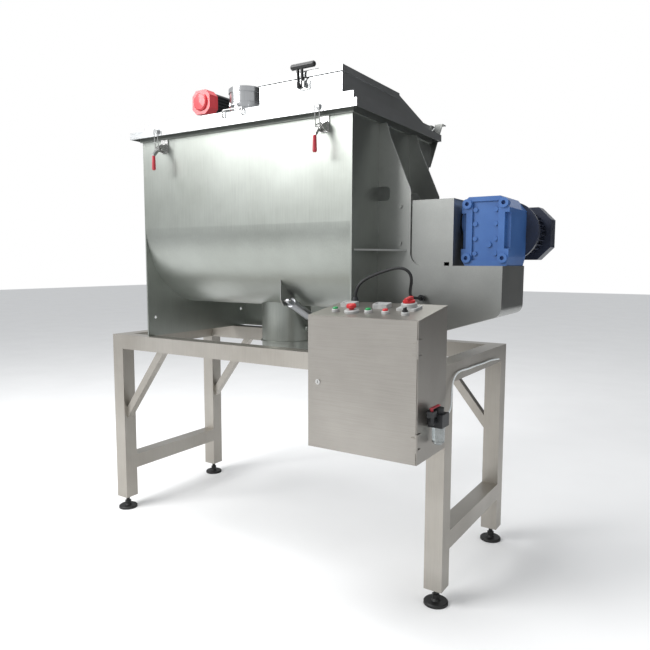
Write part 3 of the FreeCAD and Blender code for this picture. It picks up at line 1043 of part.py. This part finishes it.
build_frame()
build_feet()
build_trough()
build_lid_hinges()
build_lid()
build_vent_and_shaker()
sub_part("clamp_bases", build_clamp("left", "clamp_left_x"), build_clamp("right", "clamp_right_x"))
build_agitator()
build_drive()
build_gearbox()
build_motor()
build_discharge()
build_box()
build_console()
build_cable()
build_air()

# ---------------------------------------------------------------- origin, checks and export
LEFT_END = "tube_size / 2 - foot_disc_radius"
RIGHT_END = "motor_x + motor_flange_radius"
FRONT_END = "box_front - door_sheet - 3 - door_hinge_radius"
for piece in nodes:
    bind(piece, Placement__Base__x="-(%s + %s) / 2" % (LEFT_END, RIGHT_END),
         Placement__Base__y="-(%s + cowl_back) / 2" % FRONT_END)
doc.recompute()

for thing in doc.Objects:
    if "Invalid" in thing.State or "Error" in thing.State:
        raise RuntimeError("%s (%s) failed: %s" % (thing.Name, thing.Label, thing.State))
whole = FreeCAD.BoundBox()
for piece in nodes:
    shape = piece.Shape
    if shape.isNull() or not shape.isValid() or not shape.Solids:
        raise RuntimeError("%s has no valid solid" % piece.Label)
    whole.add(shape.BoundBox)
centre = whole.Center
print("%d nodes, box %s" % (len(nodes), whole))
if abs(centre.x) > 0.5 or abs(centre.y) > 0.5 or abs(whole.ZMin) > 0.01:
    raise RuntimeError("the origin is off the middle of the base: %s" % centre)
for piece in nodes:
    piece.Shape.exportStep("parts/%s.step" % piece.Label)
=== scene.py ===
import json
import math
import bpy
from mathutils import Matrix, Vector


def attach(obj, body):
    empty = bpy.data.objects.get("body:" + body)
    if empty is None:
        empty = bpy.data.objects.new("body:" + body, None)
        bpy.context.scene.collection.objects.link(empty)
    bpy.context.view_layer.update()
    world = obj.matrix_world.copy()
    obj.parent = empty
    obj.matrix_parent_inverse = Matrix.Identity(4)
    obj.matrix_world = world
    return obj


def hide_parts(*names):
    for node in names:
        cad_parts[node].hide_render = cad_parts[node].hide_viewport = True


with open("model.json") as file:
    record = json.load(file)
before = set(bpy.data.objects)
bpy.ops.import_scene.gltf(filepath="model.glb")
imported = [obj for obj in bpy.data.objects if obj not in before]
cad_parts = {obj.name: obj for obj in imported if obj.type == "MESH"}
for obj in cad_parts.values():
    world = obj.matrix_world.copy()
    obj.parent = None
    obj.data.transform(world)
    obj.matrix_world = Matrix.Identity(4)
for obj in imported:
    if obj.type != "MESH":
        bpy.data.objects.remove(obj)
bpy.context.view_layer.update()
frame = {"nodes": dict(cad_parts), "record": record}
nodes = frame["nodes"]
slotOf = {part["node"]: part["material_slot"] for part in frame["record"]["subparts"]}
print("frame loaded:", len(nodes), "nodes")


def linear(hexText):
    parts = [int(hexText[i:i + 2], 16) / 255 for i in (1, 3, 5)]
    return tuple(p / 12.92 if p <= 0.04045 else ((p + 0.055) / 1.055) ** 2.4 for p in parts) + (1.0,)


def addNode(tree, kind, settings=None, links=None):
    # settings: attributes by name, or input values by (input,); links: input -> output socket
    made = tree.nodes.new(kind)
    for key, value in (settings or {}).items():
        if isinstance(key, tuple):
            made.inputs[key[0]].default_value = value
        else:
            setattr(made, key, value)
    for key, source in (links or {}).items():
        tree.links.new(source, made.inputs[key])
    return made


def newMaterial(name):
    material = bpy.data.materials.new(name)
    material.use_nodes = True
    tree = material.node_tree
    tree.nodes.clear()
    shader = addNode(tree, "ShaderNodeBsdfPrincipled")
    addNode(tree, "ShaderNodeOutputMaterial", None, {"Surface": shader.outputs[0]})
    place = addNode(tree, "ShaderNodeTexCoord").outputs["Object"]
    return material, tree, shader, place


def ramp(tree, source, low, high, lowColor, highColor):
    made = addNode(tree, "ShaderNodeValToRGB", None, {"Fac": source})
    made.color_ramp.elements[0].position = low
    made.color_ramp.elements[1].position = high
    made.color_ramp.elements[0].color = lowColor
    made.color_ramp.elements[1].color = highColor
    return made.outputs["Color"]


def grey(value):
    return (value, value, value, 1.0)


def brushedSteel(name, light, dark, grain, strokeMm=2.2, roughness=(0.30, 0.46), bump=0.10):
    # 304 stainless sheet or tube, belt-brushed: fine straight strokes along the grain, soft blurred highlights,
    # faint cloudy handling marks. The strokes are drawn about ten times coarser than grit 180 so that they show.
    material, tree, shader, place = newMaterial(name)
    cloudMm, strokeAspect, metalShare = 380, 60, 0.92
    across = 1000 / strokeMm
    scale = [across / strokeAspect if axis == grain else across for axis in "xyz"]
    strokes = addNode(tree, "ShaderNodeMapping", {("Scale",): scale}, {"Vector": place})
    noise = addNode(tree, "ShaderNodeTexNoise", {("Scale",): 1.0, ("Detail",): 3.0, ("Roughness",): 0.6},
                    {"Vector": strokes.outputs[0]})
    clouds = addNode(tree, "ShaderNodeTexNoise",
                     {("Scale",): 1000 / cloudMm, ("Detail",): 4.0, ("Roughness",): 0.55}, {"Vector": place})
    tint = ramp(tree, clouds.outputs["Fac"], 0.32, 0.70, linear(dark), linear(light))
    streak = ramp(tree, noise.outputs["Fac"], 0.25, 0.75, grey(0.86), grey(1.0))
    mixed = addNode(tree, "ShaderNodeMix", {"data_type": "RGBA", "blend_type": "MULTIPLY", ("Factor",): 1.0},
                    {6: tint, 7: streak})
    tree.links.new(mixed.outputs[2], shader.inputs["Base Color"])
    rough = addNode(tree, "ShaderNodeMapRange", {("To Min",): roughness[0], ("To Max",): roughness[1]},
                    {"Value": noise.outputs["Fac"]})
    tree.links.new(rough.outputs[0], shader.inputs["Roughness"])
    shader.inputs["Metallic"].default_value = metalShare
    relief = addNode(tree, "ShaderNodeBump", {("Strength",): bump, ("Distance",): 0.0006},
                     {"Height": noise.outputs["Fac"]})
    tree.links.new(relief.outputs[0], shader.inputs["Normal"])
    return material


def enamel(name, light, dark, grainMm=5, roughness=0.42, bump=0.25, coat=0.25, metallic=0.0):
    # two-pack enamel sprayed on a sand casting: an even colour with slight pooling,
    # small orange peel over the cast grain
    poolMm = 130
    material, tree, shader, place = newMaterial(name)
    grain = addNode(tree, "ShaderNodeTexNoise", {("Scale",): 1000 / grainMm, ("Detail",): 3.0}, {"Vector": place})
    pool = addNode(tree, "ShaderNodeTexNoise", {("Scale",): 1000 / poolMm, ("Detail",): 3.0}, {"Vector": place})
    tree.links.new(ramp(tree, pool.outputs["Fac"], 0.3, 0.7, linear(dark), linear(light)),
                   shader.inputs["Base Color"])
    rough = addNode(tree, "ShaderNodeMapRange", {("To Min",): roughness - 0.08, ("To Max",): roughness + 0.10},
                    {"Value": pool.outputs["Fac"]})
    tree.links.new(rough.outputs[0], shader.inputs["Roughness"])
    shader.inputs["Metallic"].default_value = metallic
    shader.inputs["Coat Weight"].default_value = coat
    relief = addNode(tree, "ShaderNodeBump", {("Strength",): bump, ("Distance",): 0.0008},
                     {"Height": grain.outputs["Fac"]})
    tree.links.new(relief.outputs[0], shader.inputs["Normal"])
    return material


def moulded(name, light, dark, grainMm=1.6, roughness=0.4):
    # injection-moulded plastic: spark-eroded fine grain, soft sheen, small wear lighter than the body
    wearMm = 22
    material, tree, shader, place = newMaterial(name)
    grain = addNode(tree, "ShaderNodeTexVoronoi", {("Scale",): 1000 / grainMm}, {"Vector": place})
    wear = addNode(tree, "ShaderNodeTexNoise", {("Scale",): 1000 / wearMm, ("Detail",): 4.0}, {"Vector": place})
    tree.links.new(ramp(tree, wear.outputs["Fac"], 0.35, 0.72, linear(dark), linear(light)),
                   shader.inputs["Base Color"])
    rough = addNode(tree, "ShaderNodeMapRange", {("To Min",): roughness - 0.06, ("To Max",): roughness + 0.08},
                    {"Value": wear.outputs["Fac"]})
    tree.links.new(rough.outputs[0], shader.inputs["Roughness"])
    shader.inputs["IOR"].default_value = 1.5
    relief = addNode(tree, "ShaderNodeBump", {("Strength",): 0.12, ("Distance",): 0.0003},
                     {"Height": grain.outputs["Distance"]})
    tree.links.new(relief.outputs[0], shader.inputs["Normal"])
    return material


def clearBowl(name):
    # polycarbonate filter bowl: clear, slightly smoky, glossy, with faint flow lines
    material, tree, shader, place = newMaterial(name)
    flow = addNode(tree, "ShaderNodeTexNoise", {("Scale",): 60.0, ("Detail",): 2.0}, {"Vector": place})
    tree.links.new(ramp(tree, flow.outputs["Fac"], 0.3, 0.7, linear("#C9D2D4"), linear("#E4EAEA")),
                   shader.inputs["Base Color"])
    rough = addNode(tree, "ShaderNodeMapRange", {("To Min",): 0.05, ("To Max",): 0.14},
                    {"Value": flow.outputs["Fac"]})
    tree.links.new(rough.outputs[0], shader.inputs["Roughness"])
    shader.inputs["Transmission Weight"].default_value = 0.75
    shader.inputs["IOR"].default_value = 1.58
    return material


finish = {
    "frame_steel": brushedSteel("belt_brushed_square_tube", "#B9B5AE", "#A9A49C", "z", 2.6, (0.34, 0.5)),
    "trough_steel": brushedSteel("brushed_stainless_trough_sheet", "#A9ADA8", "#979B95", "z", 2.4, (0.30, 0.44)),
    "lid_steel": brushedSteel("satin_stainless_lid_sheet", "#C3C5C6", "#B2B4B4", "x", 2.4, (0.26, 0.40)),
    "plate_steel": brushedSteel("laser_cut_stainless_plate", "#AAABA8", "#989A97", "y", 2.2, (0.28, 0.42)),
    "box_steel": brushedSteel("brushed_cabinet_sheet", "#ABA7A1", "#9C9892", "x", 2.4, (0.34, 0.48)),
    "agitator_steel": brushedSteel("polished_ribbon_steel", "#B9BABA", "#A9AAA9", "x", 1.8, (0.22, 0.34)),
    "vent_steel": brushedSteel("spun_and_polished_tube", "#D3D4D5", "#C2C4C5", "z", 1.6, (0.16, 0.26), 0.05),
    "wire_steel": brushedSteel("bright_drawn_wire", "#C6C6C4", "#B4B4B2", "x", 1.2, (0.20, 0.32), 0.05),
    "bearing_iron": enamel("grey_enamel_bearing_casting", "#54585C", "#484C50", 3, 0.5, 0.35),
    "seal_rubber": moulded("white_silicone_seal", "#C9CAC6", "#BCBDB8", 3, 0.6),
    "foot_dark": enamel("blackened_turned_steel", "#3A3A3A", "#2C2C2C", 2, 0.5, 0.2, 0.0, 0.6),
    "gear_blue": enamel("blue_gearbox_enamel", "#3A66A4", "#2F5A97", 4, 0.38, 0.3, 0.35),
    "motor_navy": enamel("navy_motor_enamel", "#232B40", "#181E2E", 4, 0.42, 0.3, 0.25),
    "shaker_black": enamel("black_shaker_enamel", "#222427", "#18191B", 3, 0.42, 0.25, 0.3),
    "shaker_red": enamel("red_cap_enamel", "#D63E46", "#C4333B", 3, 0.36, 0.2, 0.35),
    "grip_red": moulded("dipped_red_vinyl", "#B32F3C", "#99202D", 1.4, 0.34),
    "grip_black": moulded("black_bakelite_grip", "#1F2022", "#161718", 1.4, 0.34),
    "button_green": moulded("green_push_button", "#1F9A54", "#188447", 1.0, 0.32),
    "button_red": moulded("red_push_button", "#C9252A", "#B11C21", 1.0, 0.32),
    "console_trim": moulded("satin_collar_metal_and_meter", "#B4B5B4", "#9C9E9D", 1.2, 0.38),
    "knob_black": moulded("black_nylon_moulding", "#26282B", "#1B1D1F", 1.4, 0.42),
    "lock_chrome": brushedSteel("plated_lock_barrel", "#D0D0CE", "#BDBDBB", "z", 1.0, (0.14, 0.24), 0.04),
    "cable_black": moulded("black_rubber_cable_sheath", "#1E1F20", "#151617", 2.0, 0.55),
    "bowl_clear": clearBowl("clear_polycarbonate_bowl"),
    "tube_white": moulded("milky_polyurethane_tube", "#E9EEEE", "#DCE2E3", 2.0, 0.35),
    "cylinder_alloy": brushedSteel("anodised_cylinder_tube", "#B8BABC", "#A8AAAC", "x", 1.4, (0.30, 0.42), 0.05),
}
for name, item in nodes.items():
    item.data.materials.clear()
    item.data.materials.append(finish[slotOf[name]])
print("finishes made:", len(finish))


def softLine(name, diameter, slotName, points):
    curve = bpy.data.curves.new(name, "CURVE")
    curve.dimensions = "3D"
    curve.bevel_depth = diameter / 2
    curve.bevel_resolution = 5
    curve.resolution_u = 16
    curve.use_fill_caps = True
    spline = curve.splines.new("NURBS")
    spline.points.add(len(points) - 1)
    for target, place in zip(spline.points, points):
        target.co = (*place, 1.0)
    spline.order_u = 4
    spline.use_endpoint_u = True
    item = bpy.data.objects.new(name, curve)
    bpy.context.collection.objects.link(item)
    curve.materials.append(finish[slotName])
    return item


supplyCable = {
    "diameter": 0.013,
    "length": 0.60,
    "route": [(0.511, -0.357, 1.271), (0.511, -0.364, 1.32), (0.533, -0.356, 1.362), (0.589, -0.333, 1.39),
              (0.649, -0.317, 1.412), (0.703, -0.305, 1.424), (0.739, -0.295, 1.4), (0.739, -0.283, 1.362),
              (0.721, -0.261, 1.328), (0.703, -0.221, 1.302), (0.694, -0.177, 1.288),
              (0.694, -0.123, 1.284), (0.694, -0.073, 1.284)],
}
airTube = {
    "diameter": 0.007,
    "length": 0.79,
    "route": [(0.953, -0.424, 0.849), (0.953, -0.391, 0.848), (0.949, -0.355, 0.858),
              (0.941, -0.325, 0.884), (0.933, -0.305, 0.924), (0.928, -0.281, 0.962),
              (0.927, -0.245, 0.983), (0.927, -0.197, 0.99), (0.928, -0.137, 0.987),
              (0.927, -0.075, 0.984), (0.928, -0.007, 0.986), (0.928, 0.063, 0.983), (0.927, 0.133, 0.981),
              (0.928, 0.203, 0.983), (0.93, 0.263, 0.979), (0.934, 0.315, 0.975)],
}
for name, facts, slotName in (("supply_cord", supplyCable, "cable_black"), ("air_line", airTube, "tube_white")):
    piece = softLine(name, facts["diameter"], slotName, facts["route"])
    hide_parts("supply_cable" if name == "supply_cord" else "air_tube")
    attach(piece, "machine")
print("cord and tube laid")


def plainStage():
    material, tree, shader, place = newMaterial("pale_studio_floor")
    noise = addNode(tree, "ShaderNodeTexNoise", {("Scale",): 2.0}, {"Vector": place})
    tree.links.new(ramp(tree, noise.outputs["Fac"], 0.2, 0.8, grey(0.93), grey(0.97)), shader.inputs["Base Color"])
    shader.inputs["Roughness"].default_value = 0.9
    shader.inputs["Specular IOR Level"].default_value = 0.1
    mesh = bpy.data.meshes.new("floor")
    reach = 30
    mesh.from_pydata([(-reach, -reach, 0), (reach, -reach, 0), (reach, reach, 0), (-reach, reach, 0)], [],
                     [(0, 1, 2, 3)])
    mesh.materials.append(material)
    floor = bpy.data.objects.new("floor", mesh)
    bpy.context.collection.objects.link(floor)

    world = bpy.data.worlds.new("studio")
    bpy.context.scene.world = world
    world.use_nodes = True
    tree = world.node_tree
    tree.nodes.clear()
    path = addNode(tree, "ShaderNodeLightPath")
    seen = addNode(tree, "ShaderNodeMath", {"operation": "MAXIMUM"})
    tree.links.new(path.outputs["Is Camera Ray"], seen.inputs[0])
    tree.links.new(path.outputs["Is Transmission Ray"], seen.inputs[1])
    plain = addNode(tree, "ShaderNodeBackground", {("Color",): grey(1.0), ("Strength",): 1.0})
    soft = addNode(tree, "ShaderNodeBackground", {("Color",): linear("#E6E8EA"), ("Strength",): 0.75})
    mix = addNode(tree, "ShaderNodeMixShader", None,
                  {0: seen.outputs[0], 1: soft.outputs[0], 2: plain.outputs[0]})
    addNode(tree, "ShaderNodeOutputWorld", None, {"Surface": mix.outputs[0]})


def softBox(name, place, target, size, power):
    lamp = bpy.data.lights.new(name, "AREA")
    lamp.shape = "RECTANGLE"
    lamp.size, lamp.size_y = size
    lamp.energy = power
    item = bpy.data.objects.new(name, lamp)
    item.location = place
    item.rotation_euler = (Vector(target) - Vector(place)).to_track_quat("-Z", "Y").to_euler()
    bpy.context.collection.objects.link(item)


def darkCard(name, corners):
    # a black studio flag: metal faces that look that way turn dark, as they do beside a dark wall
    value = 0.02
    mesh = bpy.data.meshes.new(name)
    mesh.from_pydata(corners, [], [(0, 1, 2, 3)])
    material, tree, shader, place = newMaterial(name + "_felt")
    noise = addNode(tree, "ShaderNodeTexNoise", {("Scale",): 3.0}, {"Vector": place})
    tree.links.new(ramp(tree, noise.outputs["Fac"], 0.2, 0.8, grey(value * 0.8), grey(value * 1.2)),
                   shader.inputs["Base Color"])
    shader.inputs["Roughness"].default_value = 0.95
    mesh.materials.append(material)
    card = bpy.data.objects.new(name, mesh)
    bpy.context.collection.objects.link(card)
    card.visible_camera = False
    card.visible_shadow = False
    card.visible_diffuse = False


plainStage()
softBox("key_light", (-2.6, -4.2, 4.2), (0, 0, 1.2), (3.0, 2.4), 260)
softBox("top_light", (-0.6, -0.4, 5.4), (0, 0, 1.5), (3.4, 3.0), 150)
darkCard("right_flag", [(2.2, 8.5, 0.0), (9.0, 1.0, 0.0), (9.0, 1.0, 6.0), (2.2, 8.5, 6.0)])

camera = {
    "place": (1.8356, -2.6748, 1.4393),
    "turn": (84.3, -0.13, 32.57),
    "lens": 34.45,
}
lensData = bpy.data.cameras.new("camera")
lensData.lens = camera["lens"]
lensData.sensor_width = 36
eye = bpy.data.objects.new("camera", lensData)
eye.location = camera["place"]
eye.rotation_euler = [math.radians(a) for a in camera["turn"]]
bpy.context.collection.objects.link(eye)
bpy.context.scene.camera = eye
bpy.context.scene.view_settings.view_transform = "Standard"
print("stage, lights and camera set")
